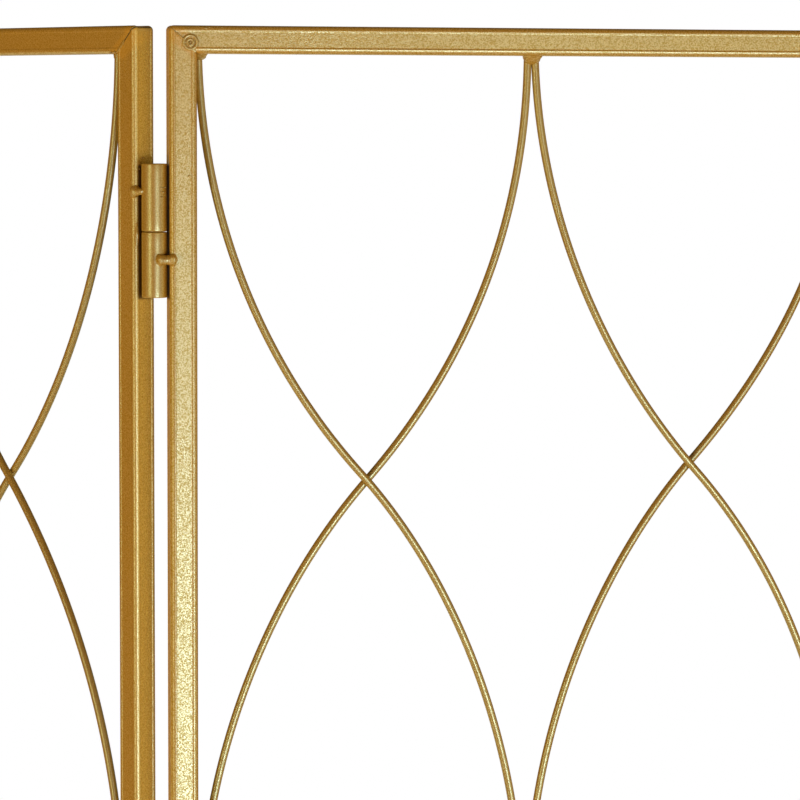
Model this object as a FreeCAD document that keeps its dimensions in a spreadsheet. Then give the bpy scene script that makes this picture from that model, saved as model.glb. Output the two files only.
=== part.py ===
import FreeCAD, Part
import math
import os
import Sketcher

Vector = FreeCAD.Vector
Rotation = FreeCAD.Rotation
Placement = FreeCAD.Placement

doc = FreeCAD.newDocument("metal_room_divider")

# Driving dimensions in millimetres, the fold in degrees, and three counts. The wires are round,
# and their flats, a multiple of four, say how finely that is drawn.
driving_sizes = {
    "panel_width": 510,
    "frame_height": 1826,
    "tube_side": 19,
    "tube_wall": 1.2,
    "tube_corner": 2.2,
    "cells_high": 3,
    "wire_diameter": 5,
    "wire_flats": 4,
    "wire_clearance": 0.1,
    "hinge_gap": 18.6,
    "hinge_inset": 94,
    "barrel_diameter": 17.4,
    "barrel_length": 46,
    "barrel_seam": 0.4,
    "pin_diameter": 8,
    "pin_reach": 34,
    "pin_clearance": 0.08,
    "pin_end_space": 2,
    "foot_side": 15,
    "foot_height": 4,
    "outer_tack_diameter": 6.6,
    "outer_tack_length": 9.3,
    "outer_tack_overlap": 2.5,
    "outer_tack_drop": 18,
    "centre_tack_diameter": 8.4,
    "centre_tack_length": 14,
    "centre_tack_overlap": 5,
    "centre_tack_drop": 20,
    "tack_sink": 0.3,
    "tack_flats": 6,
    "rail_weld_width": 13,
    "rail_weld_root": 8,
    "rail_weld_drop": 5.5,
    "fold_angle": 56,
    "overrun": 1,
}

sheet = doc.addObject("Spreadsheet::Sheet", "Sizes")
for row, (alias, value) in enumerate(driving_sizes.items(), start=1):
    sheet.set("A%d" % row, alias)
    sheet.set("B%d" % row, str(value))
    sheet.setAlias("B%d" % row, alias)
doc.recompute()


def size(expression):
    """Value of an expression on the sheet's aliases."""
    return float(sheet.evalExpression(expression))


def on_sheet(expression):
    """The same expression as another object reads it, with its aliases looked up on the sheet."""
    marked = expression
    for alias in sorted(driving_sizes, key=len, reverse=True):
        marked = marked.replace(alias, "<%d>" % list(driving_sizes).index(alias))
    for index, alias in enumerate(driving_sizes):
        marked = marked.replace("<%d>" % index, "Sizes." + alias)
    return marked


panel_width = size("panel_width")
frame_height = size("frame_height")
tube_side = size("tube_side")
tube_corner = size("tube_corner")
wire_diameter = size("wire_diameter")
wire_clearance = size("wire_clearance")
hinge_gap = size("hinge_gap")
hinge_inset = size("hinge_inset")
barrel_length = size("barrel_length")
barrel_seam = size("barrel_seam")
foot_height = size("foot_height")
cells_high = int(size("cells_high"))


# Sketches. Each corner of an outline is a pair of expressions, and a corner followed by a
# round stretch also gives the centre and radius of that arc.
def new_body(label):
    body = doc.addObject("PartDesign::Body", label)
    body.Label = label
    return body


def new_sketch(body, plane_role, name):
    """Empty sketch on one of the body's own origin planes."""
    sketch = body.newObject("Sketcher::SketchObject", name)
    plane = next(item for item in body.Origin.OriginFeatures if item.Role == plane_role)
    sketch.AttachmentSupport = [(plane, "")]
    sketch.MapMode = "FlatFace"
    return sketch


def bind_coordinate(sketch, kind, axis, geometry, end, expression):
    """Hold one end of a line or arc at a coordinate, on the sketch's axis where that is zero."""
    if expression == "0":
        sketch.addConstraint(Sketcher.Constraint("PointOnObject", geometry, end, axis))
        return
    rule = Sketcher.Constraint(kind, -1, 1, geometry, end, size(expression))
    index = sketch.addConstraint(rule)
    sketch.setExpression("Constraints[%d]" % index, on_sheet(expression))


def draw_outline(sketch, corners):
    """Closed outline of lines and arcs through corners (x, y) or (x, y, (centre x, centre y, radius))."""
    count = len(corners)
    points = [Vector(size(corner[0]), size(corner[1]), 0) for corner in corners]
    pieces = []
    for k, corner in enumerate(corners):
        start = points[k]
        finish = points[(k + 1) % count]
        if len(corner) == 2:
            geometry = sketch.addGeometry(Part.LineSegment(start, finish))
            pieces.append((geometry, 1, 2))
            continue
        centre_x, centre_y, radius = corner[2]
        centre = Vector(size(centre_x), size(centre_y), 0)
        first = math.atan2(start.y - centre.y, start.x - centre.x)
        last = math.atan2(finish.y - centre.y, finish.x - centre.x)
        forward = math.sin(last - first) > 0
        circle = Part.Circle(centre, Vector(0, 0, 1), size(radius))
        span = (first, last) if forward else (last, first)
        geometry = sketch.addGeometry(Part.ArcOfCircle(circle, *span))
        index = sketch.addConstraint(Sketcher.Constraint("Radius", geometry, size(radius)))
        sketch.setExpression("Constraints[%d]" % index, on_sheet(radius))
        pieces.append((geometry, 1, 2) if forward else (geometry, 2, 1))
    for k, (geometry, start_end, finish_end) in enumerate(pieces):
        following, following_end, _ = pieces[(k + 1) % count]
        joined = Sketcher.Constraint("Coincident", geometry, finish_end, following, following_end)
        sketch.addConstraint(joined)
        bind_coordinate(sketch, "DistanceX", -2, geometry, start_end, corners[k][0])
        bind_coordinate(sketch, "DistanceY", -1, geometry, start_end, corners[k][1])


def rounded_square(sketch):
    """Section of the tube's outside: its outer face on x = 0, centred on y = 0, corners rounded."""
    near, far = "tube_corner", "tube_side - tube_corner"
    low, high = "tube_corner - tube_side / 2", "tube_side / 2 - tube_corner"
    draw_outline(sketch, [
        (near, "-tube_side / 2"),
        (far, "-tube_side / 2", (far, low, "tube_corner")),
        ("tube_side", low),
        ("tube_side", high, (far, high, "tube_corner")),
        (far, "tube_side / 2"),
        (near, "tube_side / 2", (near, high, "tube_corner")),
        ("0", high),
        ("0", low, (near, low, "tube_corner")),
    ])


# Frame tube: square hollow section, mitred at both ends, with the frame's outer corner rounded
# off by the grinder. It stands along Z, its outer face on X = 0 and its inner face towards +X.
def frame_tube(label, length, placement):
    body = new_body(label)
    section = new_sketch(body, "XY_Plane", label + "_section")
    rounded_square(section)
    draw_outline(section, [
        ("tube_wall", "tube_wall - tube_side / 2"),
        ("tube_side - tube_wall", "tube_wall - tube_side / 2"),
        ("tube_side - tube_wall", "tube_side / 2 - tube_wall"),
        ("tube_wall", "tube_side / 2 - tube_wall"),
    ])
    pad = body.newObject("PartDesign::Pad", label + "_pad")
    pad.Profile = section
    pad.setExpression("Length", on_sheet(length))

    ends = new_sketch(body, "XZ_Plane", label + "_mitres")
    tip = "tube_corner - tube_corner / sqrt(2)"
    draw_outline(ends, [
        ("-overrun", "tube_corner"),
        ("0", "tube_corner", ("tube_corner", "tube_corner", "tube_corner")),
        (tip, tip),
        ("tube_side + overrun", "tube_side + overrun"),
        ("tube_side + overrun", "-overrun"),
        ("-overrun", "-overrun"),
    ])
    top_round = length + " - tube_corner"
    draw_outline(ends, [
        ("-overrun", top_round),
        ("0", top_round, ("tube_corner", top_round, "tube_corner")),
        (tip, length + " - tube_corner + tube_corner / sqrt(2)"),
        ("tube_side + overrun", length + " - tube_side - overrun"),
        ("tube_side + overrun", length + " + overrun"),
        ("-overrun", length + " + overrun"),
    ])
    mitres = body.newObject("PartDesign::Pocket", label + "_mitre_cut")
    mitres.Profile = ends
    mitres.Type = "ThroughAll"
    mitres.Midplane = True
    body.Placement = placement
    return body


def frame_tubes(panel, placement):
    """The four tubes of a panel's frame, each mitre facing its neighbour's."""
    half_width = panel_width / 2
    left = Vector(-half_width, 0, 0)
    top_left = Vector(-half_width, 0, frame_height)
    swap_x_and_z = Rotation(Vector(1, 0, 1), 180)
    places = {
        "left_stile": ("frame_height", Placement(left, Rotation())),
        "right_stile": ("frame_height", Placement(Vector(half_width, 0, 0), Rotation(180, 0, 0))),
        "bottom_rail": ("panel_width", Placement(left, swap_x_and_z)),
        "top_rail": ("panel_width", Placement(top_left, Rotation(0, 90, 0))),
    }
    return [
        frame_tube(panel + "_" + name, length, placement * local)
        for name, (length, local) in places.items()
    ]


# Lattice wire. Seen from the front a wire swings from one side of its bay to the other in
# circular arcs, upright where it turns and steepest where it crosses its partner. It passes
# in front of or behind the partner there and comes back to the lattice plane at each turn, so
# each half cell is a pair of arcs in space that share a tangent.
wire_corner_rule = "wire_diameter / 2 * sqrt(2 * pi / (wire_flats * sin(360 deg / wire_flats)))"
wire_corner = size(wire_corner_rule)
wire_reach = wire_corner + wire_clearance
bay_middle = panel_width / 4 - tube_side / 2
wire_swing = bay_middle - wire_reach
half_cell = (frame_height - tube_side) / (2 * cells_high)
crossing_angle = 2 * math.atan2(wire_swing, half_cell)
arc_radius = half_cell / math.sin(crossing_angle)
layer_offset = wire_corner + wire_clearance / 2
end_angle = math.asin((tube_side / 2 + wire_clearance) / arc_radius)
lattice_depth = tube_side / 2 - wire_diameter


def arc_through(start, finish, apex):
    """Arc from start to finish whose end tangents meet at apex."""
    middle = (start + finish) / 2
    leaving = (apex - start).normalize()
    arriving = (finish - apex).normalize()
    half_turn_cosine = math.sqrt((1 + leaving.dot(arriving)) / 2)
    crown = apex + (middle - apex) / (1 + half_turn_cosine)
    return Part.Arc(start, crown, finish).toShape()


def arc_pair(start, leaving, finish, arriving):
    """Two arcs from one point and direction to another, tangent to each other at their joint."""
    chord = finish - start
    spread = 2 * (1 - leaving.dot(arriving))
    along = chord.dot(leaving + arriving)
    reach = (math.sqrt(along * along + spread * chord.dot(chord)) - along) / spread
    first_apex = start + leaving * reach
    last_apex = finish - arriving * reach
    joint = (first_apex + last_apex) / 2
    return [arc_through(start, joint, first_apex), arc_through(joint, finish, last_apex)]


def heading(side, angle):
    """Direction of a wire on its way down and away from a side, at an angle to the upright."""
    return Vector(-side * math.sin(angle), 0, -math.cos(angle))


def wire_route(first_side, layer):
    """Middle line of a wire that starts on side -1 (left) or 1 (right) of its bay.

    It passes its partner in layer -1 (front) or 1 (rear).
    """
    short_swing = wire_swing - arc_radius * (1 - math.cos(end_angle))
    end_drop = arc_radius * math.sin(end_angle)
    upper_node = frame_height - tube_side / 2
    side = first_side
    start, leaving = Vector(side * short_swing, 0, upper_node - end_drop), heading(side, end_angle)
    edges = []
    for cell in range(cells_high):
        crossing = Vector(0, layer * layer_offset, upper_node - half_cell)
        slope = heading(side, crossing_angle)
        lower_node = upper_node - 2 * half_cell
        last = cell == cells_high - 1
        swing = short_swing if last else wire_swing
        finish = Vector(-side * swing, 0, lower_node + (end_drop if last else 0))
        arriving = heading(side, -end_angle if last else 0)
        edges += arc_pair(start, leaving, crossing, slope)
        edges += arc_pair(crossing, slope, finish, arriving)
        start, leaving = finish, arriving
        upper_node = lower_node
        side = -side
    return Part.Wire(edges)


def lattice_wire(label, first_side, layer, placement):
    """Round wire, drawn with flats that leave the area of its section unchanged."""
    route = wire_route(first_side, layer)
    path = doc.addObject("Part::Feature", label + "_path")
    path.Shape = route
    section = doc.addObject("Part::RegularPolygon", label + "_section")
    section.setExpression("Polygon", on_sheet("wire_flats"))
    section.setExpression("Circumradius", on_sheet(wire_corner_rule))
    top_end = route.Edges[0].valueAt(route.Edges[0].FirstParameter)
    lean = Rotation(Vector(0, 1, 0), -first_side * math.degrees(end_angle))
    section.Placement = Placement(top_end, lean)
    wire = doc.addObject("Part::Sweep", label)
    wire.Label = label
    wire.Sections = [section]
    wire.Spine = (path, ["Edge%d" % number for number in range(1, len(route.Edges) + 1)])
    wire.Solid = True
    wire.Frenet = False
    wire.Placement = placement
    return wire


def lattice_wires(panel, placement, lattice_side):
    """Two wires in each bay of a panel, near the back (1) or the front (-1) of its frame."""
    wires = []
    for bay, bay_side in (("left_bay", -1), ("right_bay", 1)):
        middle = Vector(bay_side * bay_middle, lattice_side * lattice_depth, 0)
        in_bay = placement * Placement(middle, Rotation())
        for name, layer in (("front_wire", -1), ("rear_wire", 1)):
            label = "%s_%s_%s" % (panel, bay, name)
            wires.append(lattice_wire(label, layer, layer, in_bay))
    return wires


def group(label, members, placement):
    """Separate solids of one kind under one name."""
    together = doc.addObject("Part::Compound", label)
    together.Label = label
    together.Links = members
    together.Placement = placement
    return together


# Feet: a square glide under each stile
def feet(panel, placement):
    glides = []
    for side, name in ((-1, "_left_glide"), (1, "_right_glide")):
        glide = doc.addObject("Part::Box", panel + name)
        glide.setExpression("Length", on_sheet("foot_side"))
        glide.setExpression("Width", on_sheet("foot_side"))
        glide.setExpression("Height", on_sheet("foot_height"))
        stile_middle = side * (panel_width - tube_side) / 2
        half_side = size("foot_side / 2")
        glide.Placement.Base = Vector(stile_middle - half_side, -half_side, -foot_height)
        glides.append(glide)
    return group(panel + "_feet", glides, placement)


# Welds. Each is a bead that is cut back to the faces of the pieces that it joins, and the
# beads of one kind on one panel are one group.
def panel_view(piece, placement):
    """A finished piece's shape as seen in its panel's own frame."""
    shape = piece.Shape.copy()
    shape.Placement = placement.inverse() * shape.Placement
    return shape


def stile_block(side):
    """Outside of a panel's left (-1) or right (1) stile without its hollow."""
    corner = Vector(side * (panel_width - tube_side) / 2 - tube_side / 2, -tube_side / 2, 0)
    block = Part.makeBox(tube_side, tube_side, frame_height, corner)
    return block.makeFillet(tube_corner, [edge for edge in block.Edges if edge.Length > tube_side])


def weld_group(label, beads, placement):
    welds = doc.addObject("Part::Feature", label)
    welds.Label = label
    welds.Shape = Part.makeCompound(beads)
    welds.Placement = placement
    return welds


def rail_welds(panel, placement, wires):
    """Beads under the top rail and on the bottom one, round the wires' ends at each stile and
    between the bays. Each tapers from the rail to its root on the wires."""
    wide = size("rail_weld_width / 2")
    root = size("rail_weld_root / 2")
    drop = size("rail_weld_drop")
    wire_end_x = panel_width / 2 - tube_side - wire_reach
    joined = [stile_block(-1), stile_block(1)] + [panel_view(wire, placement) for wire in wires]
    beads = []
    for z, inward in ((frame_height - tube_side, -1), (tube_side, 1)):
        for x in (-wire_end_x, 0, wire_end_x):
            bead = Part.makeWedge(-wide, 0, -wide, -root, -root, wide, drop, wide, root, root)
            bead.Placement = Placement(Vector(x, 0, z), Rotation(Vector(inward, 0, 0), 90))
            beads.append(bead.cut(joined))
    return weld_group(panel + "_rail_welds", beads, placement)


def tack_weld(kind, side, face, barrel_shape, barrel_top):
    """Bead across the gap between a stile and its barrel, on the front (-1) or back (1) face."""
    radius = size(kind + "_tack_diameter / 2")
    start_x = side * (panel_width / 2 - size(kind + "_tack_overlap"))
    y = face * (tube_side / 2 - size("tack_sink"))
    z = barrel_top - size(kind + "_tack_drop")
    flats = int(size("tack_flats"))
    turns = [math.tau * corner / flats for corner in range(flats + 1)]
    rim = [Vector(start_x, y + radius * math.cos(turn), z + radius * math.sin(turn)) for turn in turns]
    length = size(kind + "_tack_length")
    bead = Part.Face(Part.makePolygon(rim)).extrude(Vector(side * length, 0, 0))
    return bead.cut([stile_block(side), barrel_shape])


# Hinges: two barrels on one pin that stands in the gap between two stiles. The upper barrel
# turns with the outer panel and lifts off. The lower one, on the centre panel, holds the pin.
# Each outer panel has one hinge near its top and one near its bottom.
def barrel(label, bore_radius, bore_depth, placement):
    """Turned barrel that stands on Z = 0 with a blind bore from its top."""
    body = new_body(label)
    profile = new_sketch(body, "XZ_Plane", label + "_profile")
    bore_floor = "barrel_length - (%s)" % bore_depth
    draw_outline(profile, [
        ("0", "0"),
        ("barrel_diameter / 2", "0"),
        ("barrel_diameter / 2", "barrel_length"),
        (bore_radius, "barrel_length"),
        (bore_radius, bore_floor),
        ("0", bore_floor),
    ])
    turning = body.newObject("PartDesign::Revolution", label + "_turning")
    turning.Profile = profile
    turning.ReferenceAxis = (profile, ["V_Axis"])
    turning.Angle = 360
    body.Placement = placement
    return body


def hinge_pin(label, placement):
    pin = doc.addObject("Part::Cylinder", label)
    pin.setExpression("Radius", on_sheet("pin_diameter / 2"))
    pin.setExpression("Height", on_sheet("2 * pin_reach + barrel_seam"))
    pin.Placement = placement
    return pin


# Panels. The centre one stands along X. Each outer one is turned about its pins by the fold,
# the left one's free end to the back and the right one's to the front.
pin_x = panel_width / 2 + hinge_gap / 2
fold = Placement(Vector(), Rotation(Vector(0, 0, 1), -size("fold_angle")))
centre = Placement(Vector(0, 0, foot_height), Rotation())


def outer_panel(side):
    """Placement of the outer panel at the centre panel's left (-1) or right (1)."""
    to_pin = Placement(Vector(side * pin_x, 0, 0), Rotation())
    return centre * to_pin * fold * to_pin


panels = {
    "left_panel": (outer_panel(-1), -1),
    "centre_panel": (centre, 1),
    "right_panel": (outer_panel(1), -1),
}
pieces = []
for panel, (placement, lattice_side) in panels.items():
    wires = lattice_wires(panel, placement, lattice_side)
    pieces += frame_tubes(panel, placement) + wires + [feet(panel, placement)]
    doc.recompute()
    pieces.append(rail_welds(panel, placement, wires))

pair_height = 2 * barrel_length + barrel_seam
hinge_tops = {"top": frame_height - hinge_inset, "bottom": hinge_inset + pair_height}
upside_down = Rotation(Vector(1, 0, 0), 180)
centre_tacks = []
for name, side in (("left", -1), ("right", 1)):
    outer_name = name + "_panel"
    outer = panels[outer_name][0]
    uppers, lowers, pins, outer_tacks = [], [], [], []
    for level, top in hinge_tops.items():
        label = "%s_%s_" % (name, level)
        bottom = top - pair_height
        lower_top = bottom + barrel_length
        upper = barrel(
            label + "upper_barrel",
            "pin_diameter / 2 + pin_clearance",
            "pin_reach + pin_end_space",
            Placement(Vector(-side * pin_x, 0, top), upside_down),
        )
        lower = barrel(
            label + "lower_barrel",
            "pin_diameter / 2",
            "pin_reach",
            Placement(Vector(side * pin_x, 0, bottom), Rotation()),
        )
        pin_foot = Vector(side * pin_x, 0, lower_top - size("pin_reach"))
        pins.append(hinge_pin(label + "pin", Placement(pin_foot, Rotation())))
        uppers.append(upper)
        lowers.append(lower)
        doc.recompute()
        outer_tacks.append(tack_weld("outer", -side, side, upper.Shape, top))
        centre_tacks.append(tack_weld("centre", side, side, lower.Shape, lower_top))
    pieces += [
        group(name + "_hinge_upper_barrels", uppers, outer),
        group(name + "_hinge_lower_barrels", lowers, centre),
        group(name + "_hinge_pins", pins, centre),
        weld_group(outer_name + "_hinge_welds", outer_tacks, outer),
    ]
pieces.append(weld_group("centre_panel_hinge_welds", centre_tacks, centre))
doc.recompute()

# Every object has to be sound before any file is written
for item in doc.Objects:
    if "Invalid" in item.State or "Error" in item.State:
        raise RuntimeError("%s did not recompute" % item.Name)
for piece in pieces:
    if piece.Shape.isNull() or not piece.Shape.isValid():
        raise RuntimeError("%s has no valid shape" % piece.Label)

os.makedirs("parts", exist_ok=True)
for piece in pieces:
    piece.Shape.exportStep(os.path.join("parts", piece.Label + ".step"))
print("%d pieces written" % len(pieces))
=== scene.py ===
import bpy
import numpy as np
from mathutils import Matrix, Vector


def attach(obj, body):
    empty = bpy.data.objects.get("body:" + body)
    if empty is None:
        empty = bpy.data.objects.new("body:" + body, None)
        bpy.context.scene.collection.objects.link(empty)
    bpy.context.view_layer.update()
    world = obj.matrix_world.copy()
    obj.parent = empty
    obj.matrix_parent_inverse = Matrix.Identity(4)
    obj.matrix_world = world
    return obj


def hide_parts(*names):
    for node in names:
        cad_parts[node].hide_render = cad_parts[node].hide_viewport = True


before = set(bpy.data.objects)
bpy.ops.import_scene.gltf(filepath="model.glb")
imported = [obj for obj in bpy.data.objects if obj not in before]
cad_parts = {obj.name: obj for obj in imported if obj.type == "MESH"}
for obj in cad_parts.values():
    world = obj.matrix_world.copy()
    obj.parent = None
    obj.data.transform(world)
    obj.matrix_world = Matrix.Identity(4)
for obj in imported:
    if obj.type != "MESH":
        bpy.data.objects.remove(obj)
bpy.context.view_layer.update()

# The viewpoint: a long lens held just under the top rails, turned a little to the right and down,
# so that the upper part of the left and centre panels fills the picture.
eye = (-0.5929, -2.2924, 1.7736)
yaw, pitch, roll = np.radians([12.294, 4.879, -0.169])
forward = np.array([np.sin(yaw) * np.cos(pitch), np.cos(yaw) * np.cos(pitch), -np.sin(pitch)])
level_right = np.array([np.cos(yaw), -np.sin(yaw), 0.0])
level_down = np.cross(forward, level_right)
right = np.cos(roll) * level_right + np.sin(roll) * level_down
down = np.cos(roll) * level_down - np.sin(roll) * level_right
camera = bpy.data.objects.new("camera", bpy.data.cameras.new("camera"))
bpy.context.scene.collection.objects.link(camera)
camera.data.lens = 153
camera.data.sensor_width = 36
camera.data.clip_end = 60
turn = Matrix([[right[k], -down[k], -forward[k]] for k in range(3)]).to_4x4()
camera.matrix_world = Matrix.Translation(eye) @ turn
bpy.context.scene.camera = camera
bpy.context.scene.view_settings.view_transform = "Standard"


# The room: a pale floor that runs out to white, a soft surround, and softboxes either side of the
# lens, whose upright reflections give the barrels, wires and tube corners their bright lines.
class Link:
    """One socket of a node tree. Arithmetic on it adds Math nodes, and node() adds any other."""

    def __init__(self, tree, socket=None):
        self.tree = tree
        self.socket = socket

    def node(self, kind, settings=None, inputs=None, output=0):
        """New node: its settings first, then its sockets' values or links. Gives its output."""
        made = self.tree.nodes.new("ShaderNode" + kind)
        for name, value in (settings or {}).items():
            setattr(made, name, value)
        for name, value in (inputs or {}).items():
            if isinstance(value, Link):
                self.tree.links.new(value.socket, made.inputs[name])
            else:
                made.inputs[name].default_value = value
        if isinstance(output, tuple):
            return [Link(self.tree, made.outputs[name]) for name in output]
        return Link(self.tree, made.outputs[output] if made.outputs else None)

    def maths(self, operation, *values):
        return self.node("Math", {"operation": operation}, dict(enumerate(values)))

    def __add__(self, other):
        return self.maths("ADD", self, other)

    def __sub__(self, other):
        return self.maths("SUBTRACT", self, other)

    def __rsub__(self, other):
        return self.maths("SUBTRACT", other, self)

    def __mul__(self, other):
        return self.maths("MULTIPLY", self, other)

    def __abs__(self):
        return self.maths("ABSOLUTE", self)

    __radd__ = __add__
    __rmul__ = __mul__

    def most(self, other):
        return self.maths("MAXIMUM", self, other)

    def rise(self, low, high):
        """0 below low and 1 above high, with a smooth step between them. Falls where low > high."""
        settings = {"interpolation_type": "SMOOTHSTEP"}
        inputs = {"Value": self, "From Min": min(low, high), "From Max": max(low, high)}
        step = self.node("MapRange", settings, inputs)
        return step if low < high else 1 - step

    def between(self, first, last):
        """Mix of two colours: the first where this socket is 0, the last where it is 1."""
        inputs = {0: self, 6: first, 7: last}
        return self.node("Mix", {"data_type": "RGBA"}, inputs, output=2)


def ray_kinds(start):
    """Three masks: for rays from the camera, off a glossy surface and through a clear one."""
    kinds = ("Is Camera Ray", "Is Glossy Ray", "Is Transmission Ray")
    return start.node("LightPath", output=kinds)


world = bpy.data.worlds.new("studio")
world.use_nodes = True
world.node_tree.nodes.clear()
bpy.context.scene.world = world
air = Link(world.node_tree)
direction = air.node("TexCoord", output="Generated")
across, back, up = air.node("SeparateXYZ", inputs={0: direction}, output=("X", "Y", "Z"))
# The white backdrop that glossy rays find ends about 30 degrees off the line of sight.
behind = across * float(forward[0]) + back * float(forward[1]) + up * float(forward[2])
backdrop = behind.rise(0.86, 1.0)
# A dim room, with a paler wall to the right.
dim_room, right_wall = 0.04, 0.50
rightward = across * 0.97 - back * 0.24
surround = dim_room + right_wall * rightward.rise(0.88, 0.985)
seen, mirrored, through = ray_kinds(air)
white = seen.most(through).most(mirrored * backdrop)
strength = white + (1 - white) * surround
glow = air.node("Background", inputs={"Color": (1, 1, 1, 1), "Strength": strength})
air.node("OutputWorld", inputs={"Surface": glow})


def softbox(name, place, aim, width, height, radiance, colour, gloss=True):
    """Rectangular lamp of a given radiance: its power is radiance times pi times its area."""
    lamp = bpy.data.lights.new(name, "AREA")
    lamp.shape = "RECTANGLE"
    lamp.size = width
    lamp.size_y = height
    lamp.energy = radiance * np.pi * width * height
    lamp.color = colour
    box = bpy.data.objects.new(name, lamp)
    bpy.context.scene.collection.objects.link(box)
    facing = (Vector(aim) - Vector(place)).to_track_quat("-Z", "Y")
    box.matrix_world = Matrix.Translation(place) @ facing.to_matrix().to_4x4()
    box.visible_camera = False
    box.visible_glossy = gloss


softbox("right_box_low", (1.0, -4.1, 0.38), (-0.2, 0, 1.2), 2.0, 1.3, 7.0, (0.93, 1.0, 1.55))
softbox("right_box_high", (1.2, -4.1, 1.9), (-0.2, 0, 1.5), 1.5, 1.2, 0.7, (1.0, 1.0, 0.5))
softbox("left_box", (-3.7, -2.9, 1.5), (-0.3, 0, 1.5), 0.6, 2.6, 4.5, (1.0, 1.0, 0.90))
softbox("left_fill", (-3.8, -1.8, 0.75), (0, 0, 1.4), 3.0, 2.6, 4.8, (1, 1, 1), gloss=False)
softbox("right_fill", (2.9, -2.8, 0.65), (0, 0, 1.4), 2.5, 2.3, 4.2, (1, 1, 1), gloss=False)
softbox("overhead", (0.2, -0.3, 4.2), (0, 0, 0.3), 3.2, 3.2, 0.3, (1, 1, 1), gloss=False)
softbox("back_fill", (0.5, 4.4, 1.0), (0, 0, 1.2), 3.0, 2.2, 4.0, (1, 1, 1), gloss=False)


def put_in_scene(name, vertices, faces):
    """Object at the origin with its place in its mesh, and smooth faces."""
    mesh = bpy.data.meshes.new(name)
    mesh.from_pydata(vertices.tolist(), [], faces)
    mesh.validate()
    mesh.shade_smooth()
    piece = bpy.data.objects.new(name, mesh)
    bpy.context.scene.collection.objects.link(piece)
    return piece


def new_material(name):
    """Empty material and the start of its node tree."""
    material = bpy.data.materials.new(name)
    material.use_nodes = True
    material.node_tree.nodes.clear()
    return material, Link(material.node_tree)


def noise(spot, scale, detail, roughness=0.5):
    """Noise from 0 to 1 over places, with so many grains to a metre."""
    inputs = {"Vector": spot, "Scale": scale, "Detail": detail, "Roughness": roughness}
    return spot.node("TexNoise", inputs=inputs)


floor_reach = 2.6
floor_rows = 9
floor_line = np.linspace(-1, 1, floor_rows) * floor_reach
floor_x, floor_y = np.meshgrid(floor_line, floor_line, indexing="ij")
floor_points = np.stack([floor_x, floor_y, 0 * floor_x], -1).reshape(-1, 3)
corner = (np.arange(floor_rows - 1)[:, None] * floor_rows + np.arange(floor_rows - 1)).ravel()
floor_faces = np.stack([corner, corner + floor_rows, corner + floor_rows + 1, corner + 1], -1)
floor = put_in_scene("floor", floor_points, floor_faces.tolist())
floor_paper, start = new_material("floor_paper")
spot = start.node("TexCoord", output="Object")
fibre = noise(spot, 30, 4)
matt = start.node("BsdfPrincipled", inputs={
    "Base Color": fibre.between((0.80, 0.80, 0.79, 1), (0.86, 0.86, 0.85, 1)),
    "Roughness": 0.9,
})
plain = start.node("Emission", inputs={"Color": (1, 1, 1, 1), "Strength": 1.0})
# The camera sees the paper partly white by itself near the screen, so that it keeps a weak shadow,
# and wholly white further out. Glossy rays see that white only behind the screen.
near_white = 0.45
reach = start.node("VectorMath", {"operation": "LENGTH"}, {0: spot}, output="Value")
whiteness = near_white + (1 - near_white) * reach.rise(1.0, 2.5)
backward = start.node("SeparateXYZ", inputs={0: spot}, output="Y").rise(0.8, 1.6)
seen, mirrored, through = ray_kinds(start)
fade = whiteness * seen.most(mirrored * backward).most(through)
surface = start.node("MixShader", inputs={0: fade, 1: matt, 2: plain})
start.node("OutputMaterial", inputs={"Surface": surface})
floor.data.materials.append(floor_paper)


# The frames: four square steel tubes to a panel, mitred, welded, ground and sprayed with a gold
# paint whose metal flakes catch the light. The rolled corners stand up in a low lip.
tube_side = 0.019
tube_round = 0.0033
corner_round = 0.0034
lip_start = 0.0053
lip_rim = 0.0002
face_sink = 0.00033
panel_width = 0.510
frame_foot = 0.004
frame_top = 1.830
frame_middle = (frame_top + frame_foot) / 2
fold = np.radians(-56)
pin_x = 0.2643
panels = {"left_panel": -1, "centre_panel": 0, "right_panel": 1}


def bump(height):
    """Normal of a surface that stands up by a height in metres."""
    return height.node("Bump", inputs={"Height": height, "Strength": 1.0, "Distance": 1.0})


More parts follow.
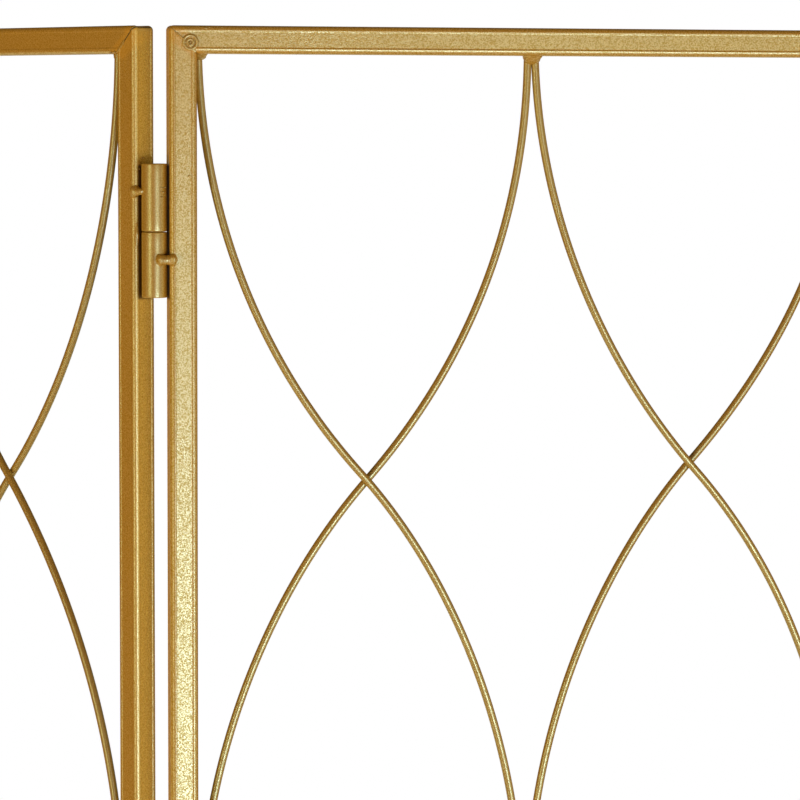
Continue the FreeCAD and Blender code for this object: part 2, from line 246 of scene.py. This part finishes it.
def gold_paint(name, side=0, mitred=False, tone=1.0, metal=0.38, grit=1.0):
    """Sprayed gold: a warm body colour with paler flakes, and a fine peel on its surface. tone
    scales the body's colour, metal is the flakes' share and grit is how much they sparkle.

    Mitred tubes also get their seams, the ground welds beside them, a painted shade on the strip of
    stile beside the barrels (a dark colour, fewer flakes and a duller surface there), and on the
    outer panels a paler body colour painted on the end face as painted light, all measured in their
    own panel's frame: a seam runs where a point is as far out from the stile's middle as from the
    rail's.
    """
    grain_height, peel_height, seam_depth = 0.00010, 0.00005, 0.0004
    material, start = new_material(name)
    spot = start.node("TexCoord", output="Object")
    grain = noise(spot, 1050, 2.0, 0.6)
    peel = noise(spot, 420, 1.0)
    drift = noise(spot, 26, 3)
    flake = grain.rise(0.40, 0.66)
    sparkle = 0.5 + grit * (grain.rise(0.36, 0.62) - 0.5)
    colour = drift.between(
        (0.54 * tone, 0.210 * tone, 0.009 * tone, 1), (0.60 * tone, 0.236 * tone, 0.012 * tone, 1)
    )
    height = peel * peel_height
    share = metal + 0.02 * (drift - 0.5)
    dull = 0.52 + 0.06 * drift
    if mitred:
        own_spot = spot
        if side:
            hinge = (side * pin_x, 0, 0)
            moved = start.node("VectorMath", {"operation": "SUBTRACT"}, {0: spot, 1: hinge})
            unfolding = {"Vector": moved, "Angle": -float(fold)}
            spun = start.node("VectorRotate", {"rotation_type": "Z_AXIS"}, unfolding)
            own_spot = start.node("VectorMath", {"operation": "SUBTRACT"}, {0: spun, 1: hinge})
        x, y, z = start.node("SeparateXYZ", inputs={0: own_spot}, output=("X", "Y", "Z"))
        from_middle = abs(z - frame_middle)
        from_stile = abs(x) - (panel_width - tube_side) / 2
        from_rail = from_middle - (frame_top - frame_foot - tube_side) / 2
        joint = abs(from_stile - from_rail)
        open_end = from_stile.rise(-0.006, 0.001) if side else 0.25
        seam = joint.rise(0.0006, 0.0002) * (0.25 + 0.75 * open_end)
        height = height - seam * seam_depth
        ground = (joint + 0.04 * (drift - 0.5)).rise(0.012, 0.006)

        end_face = (0.2535, 0.2547)
        barrels_from_middle = 0.7732
        strip_half_height = (0.0470, 0.0445)
        strip_half_depth = (0.0085, 0.0055)
        # The stile's end face on the hinge side, and the strip of it beside the barrels that gets
        # painted shade.
        hinge_side = (x * -side if side else abs(x)).rise(*end_face)
        beside_barrels = abs(from_middle - barrels_from_middle).rise(*strip_half_height)
        painted_gap_shade = hinge_side * beside_barrels * abs(y).rise(*strip_half_depth)

        # The paler gold is painted light on the outer end faces. The dark colour is for the seams
        # and for painted shade beside the barrels.
        painted_light_gold, seam_dark_and_painted_shade = (0.78, 0.39, 0.04, 1), (0.03, 0.014, 0.004, 1)
        # Painted light: on the outer panels the end face gets a paler body colour, standing in for
        # light that falls on it.
        if side:
            colour = hinge_side.between(colour, painted_light_gold)
        # The seams are darkened. The strip beside the barrels is darkened as painted shade, with
        # fewer flakes and a duller surface.
        colour = seam.most(0.85 * painted_gap_shade).between(colour, seam_dark_and_painted_shade)
        share = (share - 0.14 * ground) * (1 - 0.9 * painted_gap_shade)
        dull = dull + 0.35 * painted_gap_shade
    body = start.node("BsdfPrincipled", inputs={
        "Base Color": colour,
        "Roughness": dull,
        "Specular IOR Level": 0.25,
        "Normal": bump(height),
    })
    flakes = start.node("BsdfPrincipled", inputs={
        "Base Color": sparkle.between((0.34, 0.42, 0.11, 1), (0.88, 1.0, 0.47, 1)),
        "Metallic": 1.0,
        "Roughness": 0.40 - 0.11 * flake,
        "Normal": bump(height + grain * (grain_height * grit)),
    })
    surface = start.node("MixShader", inputs={0: share, 1: body, 2: flakes})
    start.node("OutputMaterial", inputs={"Surface": surface})
    return material


def on_screen(side, points):
    """Points of a panel's own frame moved to their place: an outer panel goes to its pin, is
    turned by the fold, and goes on by the pin's distance again."""
    if side == 0:
        return points
    x, y, z = points[..., 0] + side * pin_x, points[..., 1], points[..., 2]
    turned_x = x * np.cos(fold) - y * np.sin(fold) + side * pin_x
    turned_y = x * np.sin(fold) + y * np.cos(fold)
    return np.stack([turned_x, turned_y, z], -1)


def skin(rings, loop=False):
    """Closed surface over rings of points: neighbours in a ring and from ring to ring are joined,
    and each end closes on the middle of its ring, unless the last ring is the first one again.
    Its volume's sign sets which way faces look."""
    rows, columns = rings.shape[:2]
    vertices = rings.reshape(-1, 3)
    around = np.arange(columns)
    following = (around + 1) % columns
    ring = np.arange(rows - 1)[:, None] * columns
    quads = [ring + around, ring + following, ring + columns + following, ring + columns + around]
    faces = np.stack(quads, -1).reshape(-1, 4)
    if not loop:
        vertices = np.concatenate([vertices, rings[:1].mean(1), rings[-1:].mean(1)])
        last = (rows - 1) * columns
        middle = np.full(columns, rows * columns)
        start_fan = [middle, following, around, around]
        end_fan = [middle + 1, last + around, last + following, last + following]
        faces = np.concatenate([faces, np.stack(start_fan, -1), np.stack(end_fan, -1)])
    rounded = np.round(vertices, 7)
    _, kept, merged = np.unique(rounded, axis=0, return_index=True, return_inverse=True)
    vertices, faces = vertices[kept], merged.reshape(-1)[faces]
    a, b, c, d = (vertices[faces[:, k]] for k in range(4))
    volume = (np.cross(b, c) * a).sum() + (np.cross(c, d) * a).sum()
    return vertices, faces if volume > 0 else faces[:, ::-1]


def build(name, skins, material, body, replaced=()):
    """One piece of several closed skins, riding on a body."""
    vertices, faces, count = [], [], 0
    for points, corners in skins:
        vertices.append(points)
        outlines = [list(dict.fromkeys(face)) for face in (corners + count).tolist()]
        faces += [outline for outline in outlines if len(outline) > 2]
        count += len(points)
    piece = put_in_scene(name, np.concatenate(vertices), faces)
    piece.data.set_sharp_from_angle(angle=np.radians(50))
    piece.data.materials.append(material)
    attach(piece, body)
    if replaced:
        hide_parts(*replaced)


def tube_section():
    """Section of the tube, in metres from its middle: on each side a face that is a little hollow,
    its sink following a smooth step from the lips inwards, and a quarter round at each corner."""
    flat = tube_side / 2 - tube_round
    shares = np.array([0, 2.4, 3.6, 4.2, 4.6, 5.0, 5.4, 5.8, 6.2, 6.6, 7.0]) / 7.3
    along = np.concatenate([-shares[:0:-1], shares]) * flat
    step = np.clip((np.abs(along) - lip_start) / (flat - lip_rim - lip_start), 0, 1)
    sink = face_sink * (1 - step ** 2 * (3 - 2 * step))
    face = np.stack([tube_side / 2 - sink, along], -1)
    bend = np.linspace(0, np.pi / 2, 9)
    arc = np.stack([flat + tube_round * np.cos(bend), flat + tube_round * np.sin(bend)], -1)
    quarters = [np.concatenate([face, arc])]
    for _ in range(3):
        x, y = quarters[-1].T
        quarters.append(np.stack([-y, x], -1))
    return np.concatenate(quarters)


def mitred_tube(length):
    """Rings of a tube along its length: (along, in from the outer face, depth).

    From square to the tube a ring leans over to the mitre, and the part within a corner radius of
    the outer face then follows an arc to the joint, so that the frame's outer corner is round.
    """
    section = tube_section()
    inward = tube_side / 2 - section[:, 0]
    depth = section[:, 1]
    square_end = tube_side * 1.05
    mitre = np.maximum(inward, corner_round)
    foot = []
    for lean in (0.0, 0.5, 1.0):
        foot.append(np.stack([square_end + lean * (mitre - square_end), inward, depth], -1))
    for bend in np.radians([9, 18, 27, 36, 45]):
        reach = np.clip(corner_round - inward, 0, None)
        end = mitre - reach * np.sin(bend)
        round_in = np.where(reach > 0, corner_round - reach * np.cos(bend), inward)
        foot.append(np.stack([end, round_in, depth], -1))
    head = np.array(foot)
    foot = head[::-1].copy()
    head[..., 0] = length - head[..., 0]
    return np.concatenate([foot, head])


half_width = panel_width / 2
stile_along, stile_in, stile_depth = np.moveaxis(mitred_tube(frame_top - frame_foot), -1, 0)
rail_along, rail_in, rail_depth = np.moveaxis(mitred_tube(panel_width), -1, 0)
tubes = {
    "left_stile": (stile_in - half_width, stile_depth, frame_foot + stile_along),
    "right_stile": (half_width - stile_in, stile_depth, frame_foot + stile_along),
    "bottom_rail": (rail_along - half_width, rail_depth, frame_foot + rail_in),
    "top_rail": (rail_along - half_width, rail_depth, frame_top - rail_in),
}
for panel, side in panels.items():
    frame_gold = gold_paint(panel + "_gold", side, mitred=True)
    for name, places in tubes.items():
        label = "%s_%s" % (panel, name)
        tube = skin(on_screen(side, np.stack(places, -1)))
        build(label + "_tube", [tube], frame_gold, panel, [label])


# The lattice: two round steel wires in each bay, bent a little unevenly into arcs that swing from
# side to side and pass in front of and behind each other. They are welded to the rails and
# sprayed with the frame.
wire_radius = 0.00275
wire_rings = 325
bay_middle = panel_width / 4 - tube_side / 2
half_cells = 6
half_cell = (frame_top - frame_foot - tube_side) / half_cells
turn_inset = 0.0025
swing = bay_middle - turn_inset
crossing_angle = 2 * np.arctan2(swing, half_cell)
arc_radius = half_cell / np.sin(crossing_angle)
pass_gap = 0.0027
lattice_y = {"left_panel": -0.0045, "centre_panel": 0.0045, "right_panel": -0.0045}


def wire_line(layer, rises, leans):
    """Middle line of a wire: along it u runs 0 to 6, one for each half cell. In each half cell the
    line turns through the crossing angle on an arc that is upright at the bay's edge, and its
    depth eases from the lattice's plane at the edge to its own layer at the crossing. The rises
    and leans, in millimetres at each end of a half cell, fade to the next ones on a cosine."""
    u = np.linspace(0, half_cells, wire_rings)
    half = np.minimum(u.astype(int), half_cells - 1)
    part = u - half
    edge_above = half % 2 == 0
    from_edge = np.where(edge_above, part, 1 - part)
    edge = layer * np.array([1, -1, -1, 1, 1, -1])[half]
    edge_height = frame_top - tube_side / 2 - half_cell * np.array([0, 2, 2, 4, 4, 6])[half]
    angle = from_edge * crossing_angle
    x = edge * (swing - arc_radius * (1 - np.cos(angle)))
    y = layer * pass_gap * (1 - np.cos(np.pi * from_edge)) / 2
    z = edge_height - np.where(edge_above, 1, -1) * arc_radius * np.sin(angle)
    fade = (1 - np.cos(np.pi * part)) / 2
    rises, leans = np.array(rises) / 1000, np.array(leans) / 1000
    x = x + leans[half] + (leans[half + 1] - leans[half]) * fade
    z = z + rises[half] + (rises[half + 1] - rises[half]) * fade
    return np.stack([x, y, z], -1)


def circle(count):
    """Angles of so many points, evenly spread round a ring."""
    return np.arange(count) * 2 * np.pi / count


def round_wire(line):
    """Rings square to a line: each ring's axes are the depth direction less its part along the
    line, and the cross product of the two."""
    along = np.gradient(line, axis=0)
    along /= np.linalg.norm(along, axis=1, keepdims=True)
    depth = np.array([0, 1, 0]) - along * along[:, 1:2]
    depth /= np.linalg.norm(depth, axis=1, keepdims=True)
    aside = np.cross(along, depth)
    angle = circle(16)[:, None]
    ring = np.cos(angle) * depth[:, None] + np.sin(angle) * aside[:, None]
    return line[:, None] + wire_radius * ring


# How far each wire is off the even line, in millimetres at u = 0 to 6: upwards, then to the right.
# They follow the photograph where it shows the wire. From u = 3 on, and for the whole of the left
# panel's left bay and the right panel, they are made up.
even = (0, 0, 0, 0, 0, 0, 0)
uneven = {
    "left_panel_left_bay_front_wire": ((0, 1, 0, -1, 1, 0, 0), even),
    "left_panel_left_bay_rear_wire": ((0, 2, -1, 0, 1, 0, 0), even),
    "left_panel_right_bay_front_wire": ((0, -5, -2.5, 0, 1, 0, 0), (0, -1.5, 1, 0, 0, 0, 0)),
    "left_panel_right_bay_rear_wire": ((-1.4, -4, -1, 0, 1, 0, 0), (0, -2.8, 0, 0, 0, 0, 0)),
    "centre_panel_left_bay_front_wire": ((0.4, 3.7, -13, -2, 0, 1, 0), (0, -3, -0.9, 0, 0, 0, 0)),
    "centre_panel_left_bay_rear_wire": ((-8, -1.8, -13, -3, 0, 1, 0), (0, 3, 0.4, 0, 0, 0, 0)),
    "centre_panel_right_bay_front_wire": ((3.9, 1.2, -2, -1, -1, 1, 0), (0, 3, 0.5, 0, 0, 0, 0)),
    "centre_panel_right_bay_rear_wire": ((-7, 8, -3.7, -1, -1, 2, 0), (0, 1.8, -0.9, 0, 0, 0, 0)),
    "right_panel_left_bay_front_wire": ((0, 2, 0, -2, 0, 1, 0), even),
    "right_panel_left_bay_rear_wire": ((-2, 1, 0, -2, 0, 1, 0), even),
    "right_panel_right_bay_front_wire": ((0, -1, 1, 1, 0, -2, 0), even),
    "right_panel_right_bay_rear_wire": ((-1, -2, 1, 0, 0, -2, 0), even),
}
wire_paint = gold_paint("wire_gold", tone=0.86, metal=0.44, grit=0.3)
for panel, side in panels.items():
    for bay, bay_side in (("left_bay", -1), ("right_bay", 1)):
        for name, layer in (("front_wire", -1), ("rear_wire", 1)):
            label = "%s_%s_%s" % (panel, bay, name)
            line = wire_line(layer, *uneven[label]) + (bay_side * bay_middle, lattice_y[panel], 0)
            wire = skin(on_screen(side, round_wire(line)))
            build(label + "_round", [wire], wire_paint, panel, [label])


# The rail welds: beads that run round the wires' ends under the top rail and on the bottom one,
# at each stile and between the bays. They are as they came off the torch, and sprayed over.
rail_weld_drop = 0.0062
root_x, root_y = 0.0067, 0.0066
taper_x, taper_y = 0.0024, 0.0020
tip_share = 0.35
share_in_rail = 0.08
wire_end_inset = 0.0032


def rounded_square(angle, power):
    """Reach of a ring at an angle: a circle's at power 2, and nearer a square's as it grows."""
    return (np.abs(np.cos(angle)) ** power + np.abs(np.sin(angle)) ** power) ** (-1 / power)


def rail_bead(x, y, upward, seed, scale):
    """Lump that tapers from the rail to the wires: level rings, each a rounded square whose half
    width falls with the drop and closes at the end on a quarter circle, with low ripples."""
    rng = np.random.default_rng(seed)
    t = np.linspace(0, 1, 14)[:, None]
    angle = circle(28)
    quarter = np.sqrt(np.clip(1 - np.clip((t - 0.55) / 0.46, 0, 1) ** 2, 0.0, 1))
    close = tip_share + (1 - tip_share) * quarter
    half_x = scale * (root_x - taper_x * t) * close
    half_y = (root_y - taper_y * t) * close
    ripple = 1 + 0.05 * np.sin(3 * angle + rng.uniform(0, 6))
    ripple = ripple + 0.04 * np.sin(5 * angle + 9 * t + rng.uniform(0, 6))
    square = rounded_square(angle, 3)
    drop = scale * rail_weld_drop * (t - share_in_rail) + 0 * angle
    z = frame_foot + tube_side + drop if upward else frame_top - tube_side - drop
    across = x + half_x * np.cos(angle) * square * ripple
    deep = y * t + half_y * np.sin(angle) * square * ripple
    return np.stack([across, deep, z], -1)


weld_paint = gold_paint("weld_gold", tone=0.92)
wire_end_x = half_width - tube_side - wire_end_inset
for panel, side in panels.items():
    bead_y = 0.7 * lattice_y[panel]
    places = [(x, upward) for upward in (False, True) for x in (-wire_end_x, 0, wire_end_x)]
    beads = []
    for k, (x, upward) in enumerate(places):
        scale = 1 if x == 0 else 0.75 + 0.1 * side
        bead = rail_bead(x, bead_y, upward, 20 + k + 7 * side, scale)
        beads.append(skin(on_screen(side, bead)))
    label = panel + "_rail_welds"
    build(label + "_beads", beads, weld_paint, panel, [label])


# The hinges: turned steel barrels in pairs, the lower one holding a pin that the upper one is
# lifted onto. Their edges are broken, and they are sprayed with the frame.
barrel_radius = 0.0087
upper_length = 0.0459
lower_length = 0.0446
upper_bore = 0.00408
lower_bore = 0.0040
bore_floor, drill_tip = 0.012, 0.011
barrel_seam = 0.0004
pair_height = 0.0924
hinge_inset = 0.094
pair_tops = (frame_top - hinge_inset, frame_foot + hinge_inset + pair_height)
pair_rise = 0.0008


def turned(profile, x, z, flip=1):
    """Surface of a profile (radius, height) turned round an upright axis."""
    angle = circle(48)
    r, h = profile.T[:, :, None]
    return np.stack([x + r * np.cos(angle), r * np.sin(angle), z + flip * h + 0 * angle], -1)


def barrel_profile(bore, length):
    """Closed end, side and open end with quarter round edges, then down into the bore."""
    edge, chamfer, near_axis = 0.0008, 0.0002, 0.0006
    closed_end = [(near_axis, 0), (0.004, 0)]
    bend = np.linspace(0, np.pi / 2, 6)
    rim = barrel_radius - edge
    foot = np.stack([rim + edge * np.sin(bend), edge - edge * np.cos(bend)], -1)
    side = np.stack([np.full(9, barrel_radius), np.linspace(edge, length - edge, 9)], -1)[1:-1]
    top = np.stack([rim + edge * np.cos(bend), length - edge + edge * np.sin(bend)], -1)
    mouth = [(bore + chamfer, length), (bore, length - chamfer)]
    hole = [(bore, bore_floor), (near_axis, drill_tip)]
    return np.concatenate([closed_end, foot, side, top, mouth, hole])


hinge_paint = gold_paint("hinge_gold", tone=0.92, metal=0.40, grit=0.6)
upper_profile = barrel_profile(upper_bore, upper_length)
lower_profile = barrel_profile(lower_bore, lower_length)
# Where the lower barrels' tops lie, measured up from the pairs' tops.
seat = pair_rise - upper_length - barrel_seam
for name, side in (("left", -1), ("right", 1)):
    x = side * pin_x
    uppers = [skin(turned(upper_profile, x, top + pair_rise, -1)) for top in pair_tops]
    lowers = [skin(turned(lower_profile, x, top + seat - lower_length)) for top in pair_tops]
    label = name + "_hinge_"
    build(label + "upper_turned", uppers, hinge_paint, name + "_panel",
          [label + "upper_barrels"])
    build(label + "lower_turned", lowers, hinge_paint, "centre_panel",
          [label + "lower_barrels"])

# The pins keep the CAD's shape: bright steel with the fine rings that turning leaves.
pin_finish, start = new_material("pin_bright_steel")
spot = start.node("TexCoord", output="Object")
stretched = start.node("Mapping", inputs={"Vector": spot, "Scale": (60, 60, 2500)})
lines = noise(stretched, 1.0, 3)
steel = start.node("BsdfPrincipled", inputs={
    "Base Color": lines.between((0.42, 0.42, 0.43, 1), (0.62, 0.62, 0.63, 1)),
    "Metallic": 1.0,
    "Roughness": 0.22 + 0.18 * lines,
    "Normal": bump(lines * 0.00002),
})
start.node("OutputMaterial", inputs={"Surface": steel})
for name in ("left_hinge_pins", "right_hinge_pins"):
    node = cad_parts[name]
    if not node.material_slots:
        node.data.materials.append(pin_finish)
    for holder in node.material_slots:
        holder.material = pin_finish


# The hinge welds: one short bead holds each barrel to the stile beside it. The outer panels' beads
# sit on the stile's corner, the centre panel's reach further onto its face.
def tack(start_x, finish_x, y, z, radii, seed):
    """Bead along X: rings square to it whose radius follows the given stations, rounded off as a
    half circle at both ends, with a low ripple round and along."""
    rng = np.random.default_rng(seed)
    t = np.linspace(0, 1, 26)[:, None]
    angle = circle(24)
    radius = np.interp(t, np.linspace(0, 1, len(radii)), radii)
    from_end = np.minimum(t, 1 - t) * abs(finish_x - start_x)
    cap = min(radii[0], radii[-1]) * 0.9
    close = np.sqrt(np.clip(1 - np.clip(1 - from_end / cap, 0, 1) ** 2, 0.002, 1))
    ripple = 1 + 0.05 * np.sin(2 * angle + 7 * t + rng.uniform(0, 6))
    ripple = ripple + 0.03 * np.sin(4 * angle + rng.uniform(0, 6))
    r = radius * close * ripple
    x = start_x + (finish_x - start_x) * t + 0 * angle
    return np.stack([x, y + r * np.cos(angle), z + r * np.sin(angle)], -1)


stile_face = tube_side / 2 - 0.0003
outer_radii = (0.0036, 0.0042, 0.0041, 0.0030, 0.0024, 0.0023, 0.0024)
outer_start, outer_finish = half_width - 0.0042, half_width + 0.0074
outer_y = stile_face - 0.0012
outer_drop = 0.0182
inner_radii = (0.0044, 0.0046, 0.0034, 0.0031, 0.0036, 0.0044, 0.0040)
inner_start, inner_finish = half_width - 0.0050, half_width + 0.0098
inner_drop = 0.0642
centre_tacks = []
for name, side in (("left", -1), ("right", 1)):
    outer_tacks = []
    for k, top in enumerate(pair_tops):
        outer = tack(-side * outer_start, -side * outer_finish, side * outer_y, top - outer_drop,
                     outer_radii, 40 + k + side)
        outer_tacks.append(skin(on_screen(side, outer)))
        inner = tack(side * inner_start, side * inner_finish, side * stile_face, top - inner_drop,
                     inner_radii, 50 + k + side)
        centre_tacks.append(skin(inner))
    panel = name + "_panel"
    build(panel + "_hinge_tacks", outer_tacks, weld_paint, panel,
          [panel + "_hinge_welds"])
build("centre_panel_hinge_tacks", centre_tacks, weld_paint, "centre_panel",
      ["centre_panel_hinge_welds"])


# The corner seams: what the grinder left of each mitre's weld, a low ridge from the inner corner
# along the joint, on the front and on the back.
def ridge(start, finish, half_across, proud, face):
    """Low bead between two points (x, z) of a face: ellipses across it, half of each under the
    face, closed at both ends."""
    t = np.linspace(0, 1, 16)[:, None]
    angle = circle(12)
    (x0, z0), (x1, z1) = start, finish
    length = np.hypot(x1 - x0, z1 - z0)
    ax, az = (x1 - x0) / length, (z1 - z0) / length
    close = np.sqrt(np.clip(1 - (2 * t - 1) ** 4, 0.01, 1))
    across = half_across * close * np.cos(angle)
    out = proud * close * np.sin(angle)
    x = x0 + (x1 - x0) * t - az * across
    z = z0 + (z1 - z0) * t + ax * across
    return np.stack([x, face * (tube_side / 2 + out), z], -1)


seam_start, seam_half, seam_proud = 0.0012, 0.0011, 0.00028


def on_mitre(sx, sz, out):
    """The point (x, z) that is so far out both ways from a frame's inner corner."""
    inner_x = half_width - tube_side
    inner_z = (frame_top - frame_foot) / 2 - tube_side
    return sx * (inner_x + out), frame_middle + sz * (inner_z + out)


for panel, side in panels.items():
    rng = np.random.default_rng(7 + side)
    seams = []
    for sx in (-1, 1):
        for sz in (-1, 1):
            for face in (-1, 1):
                reach = rng.uniform(0.30, 0.55) * tube_side
                ends = on_mitre(sx, sz, seam_start), on_mitre(sx, sz, reach)
                seam = ridge(*ends, seam_half, seam_proud, face)
                seams.append(skin(on_screen(side, seam)))
    build(panel + "_corner_seams", seams, weld_paint, panel)


# The centre panel's marks, all under the paint: a round mark of two rings and a drop by the upper
# left corner, with a short ridge from it out to the corner, and drops of weld along the top edge
# and down the stile.
def speck(x, y, z, radius):
    """Small drop: a ball of rings from pole to pole, a little flattened."""
    squash, pole = 0.6, 0.12
    t = np.linspace(pole, np.pi - pole, 7)[:, None]
    angle = circle(9)
    level = radius * np.sin(t)
    z = z + squash * radius * np.cos(t) + 0 * angle
    return np.stack([x + level * np.cos(angle), y + level * np.sin(angle), z], -1)


mark_x, mark_z = -0.24085, 1.8186
turns = circle(48)[:, None]
section = circle(10)
marks = []
for radius, thick, proud in ((0.0046, 0.0011, 0.0009), (0.0020, 0.0009, 0.0008)):
    r = radius + thick * np.cos(section)
    y = -tube_side / 2 - proud * np.sin(section) + 0 * turns
    ring = np.stack([mark_x + r * np.cos(turns), y, mark_z + r * np.sin(turns)], -1)
    marks.append(skin(np.concatenate([ring, ring[:1]]), loop=True))
# Each drop's x, y, z and radius.
drops = [
    (-0.2336, -0.0080, 1.8284, 0.0013), (-0.2302, -0.0078, 1.8280, 0.0019),
    (-0.2274, -0.0080, 1.8284, 0.0013), (-0.2192, -0.0081, 1.8286, 0.0011),
    (-0.2422, -0.0096, 1.7286, 0.0009), (-0.2390, -0.0096, 1.7650, 0.0006),
    (-0.2375, -0.0096, 1.6930, 0.0007), (mark_x, -0.0096, mark_z, 0.0008),
]
marks += [skin(speck(*drop)) for drop in drops]
marks.append(skin(ridge((-0.2507, 1.8253), (-0.2446, 1.8199), 0.0006, 0.0006, -1)))
build("centre_panel_marks", marks, hinge_paint, "centre_panel")


# The left panel's marks: drops of weld on its front and on the end face beside the upper hinge,
# and a small lump that ran down the end face. They were sprayed over with the rest.
drops = [
    (0.2551, -0.0024, 1.7405, 0.0013), (0.2308, -0.0094, 1.8118, 0.0009),
    (0.2349, -0.0094, 1.8121, 0.0013), (0.2548, -0.0050, 1.7330, 0.0007),
]
marks = [skin(on_screen(-1, speck(*drop))) for drop in drops]
lump = tack(1.6972, 1.6800, -0.0075, 0.2546, (0.0006, 0.0010, 0.0016, 0.0014, 0.0008), 61)
marks.append(skin(on_screen(-1, lump[..., [2, 1, 0]])))
build("left_panel_marks", marks, weld_paint, "left_panel")


# The flecks on the left hinge: grains of weld that stuck to the front of the upper barrel, some
# way under its top, and were sprayed over.
fleck_count = 9
fleck_bearing = (26, 52)
fleck_drop = (0.0145, 0.0225)
fleck_radius = (0.0008, 0.0013)
barrel_top = pair_tops[0] + pair_rise
fleck_reach = barrel_radius - 0.0002
flecks = []
rng = np.random.default_rng(17)
for _ in range(fleck_count):
    angle = np.radians(-90 + rng.uniform(*fleck_bearing))
    height = barrel_top - rng.uniform(*fleck_drop)
    radius = rng.uniform(*fleck_radius)
    x, y = fleck_reach * np.cos(angle) - pin_x, fleck_reach * np.sin(angle)
    flecks.append(skin(speck(x, y, height, radius)))
build("left_hinge_flecks", flecks, wire_paint, "left_panel")


# The glides: moulded black plastic buttons under the stiles, of the kind that is pushed into a
# hole in the tube, with rounded edges where they meet the floor.
def glide(x):
    """Level rings, each a rounded square, that widen from the sole by a quarter round."""
    height = np.array([0.0, 0.0002, 0.0006, 0.0012, 0.0025, 0.0042])[:, None]
    half = np.array([0.0058, 0.0066, 0.0071, 0.0074, 0.0075, 0.0075])[:, None]
    angle = circle(40)
    reach = half * rounded_square(angle, 7)
    return np.stack([x + reach * np.cos(angle), reach * np.sin(angle), height + 0 * angle], -1)


glide_plastic, start = new_material("glide_plastic")
spot = start.node("TexCoord", output="Object")
pebble = noise(spot, 900, 2)
plastic = start.node("BsdfPrincipled", inputs={
    "Base Color": pebble.between((0.018, 0.018, 0.019, 1), (0.035, 0.035, 0.036, 1)),
    "Roughness": 0.5 + 0.2 * pebble,
    "Normal": bump(pebble * 0.00008),
})
start.node("OutputMaterial", inputs={"Surface": plastic})
stile_middle = (panel_width - tube_side) / 2
for panel, side in panels.items():
    plugs = [skin(on_screen(side, glide(x))) for x in (-stile_middle, stile_middle)]
    build(panel + "_glides", plugs, glide_plastic, panel, [panel + "_feet"])
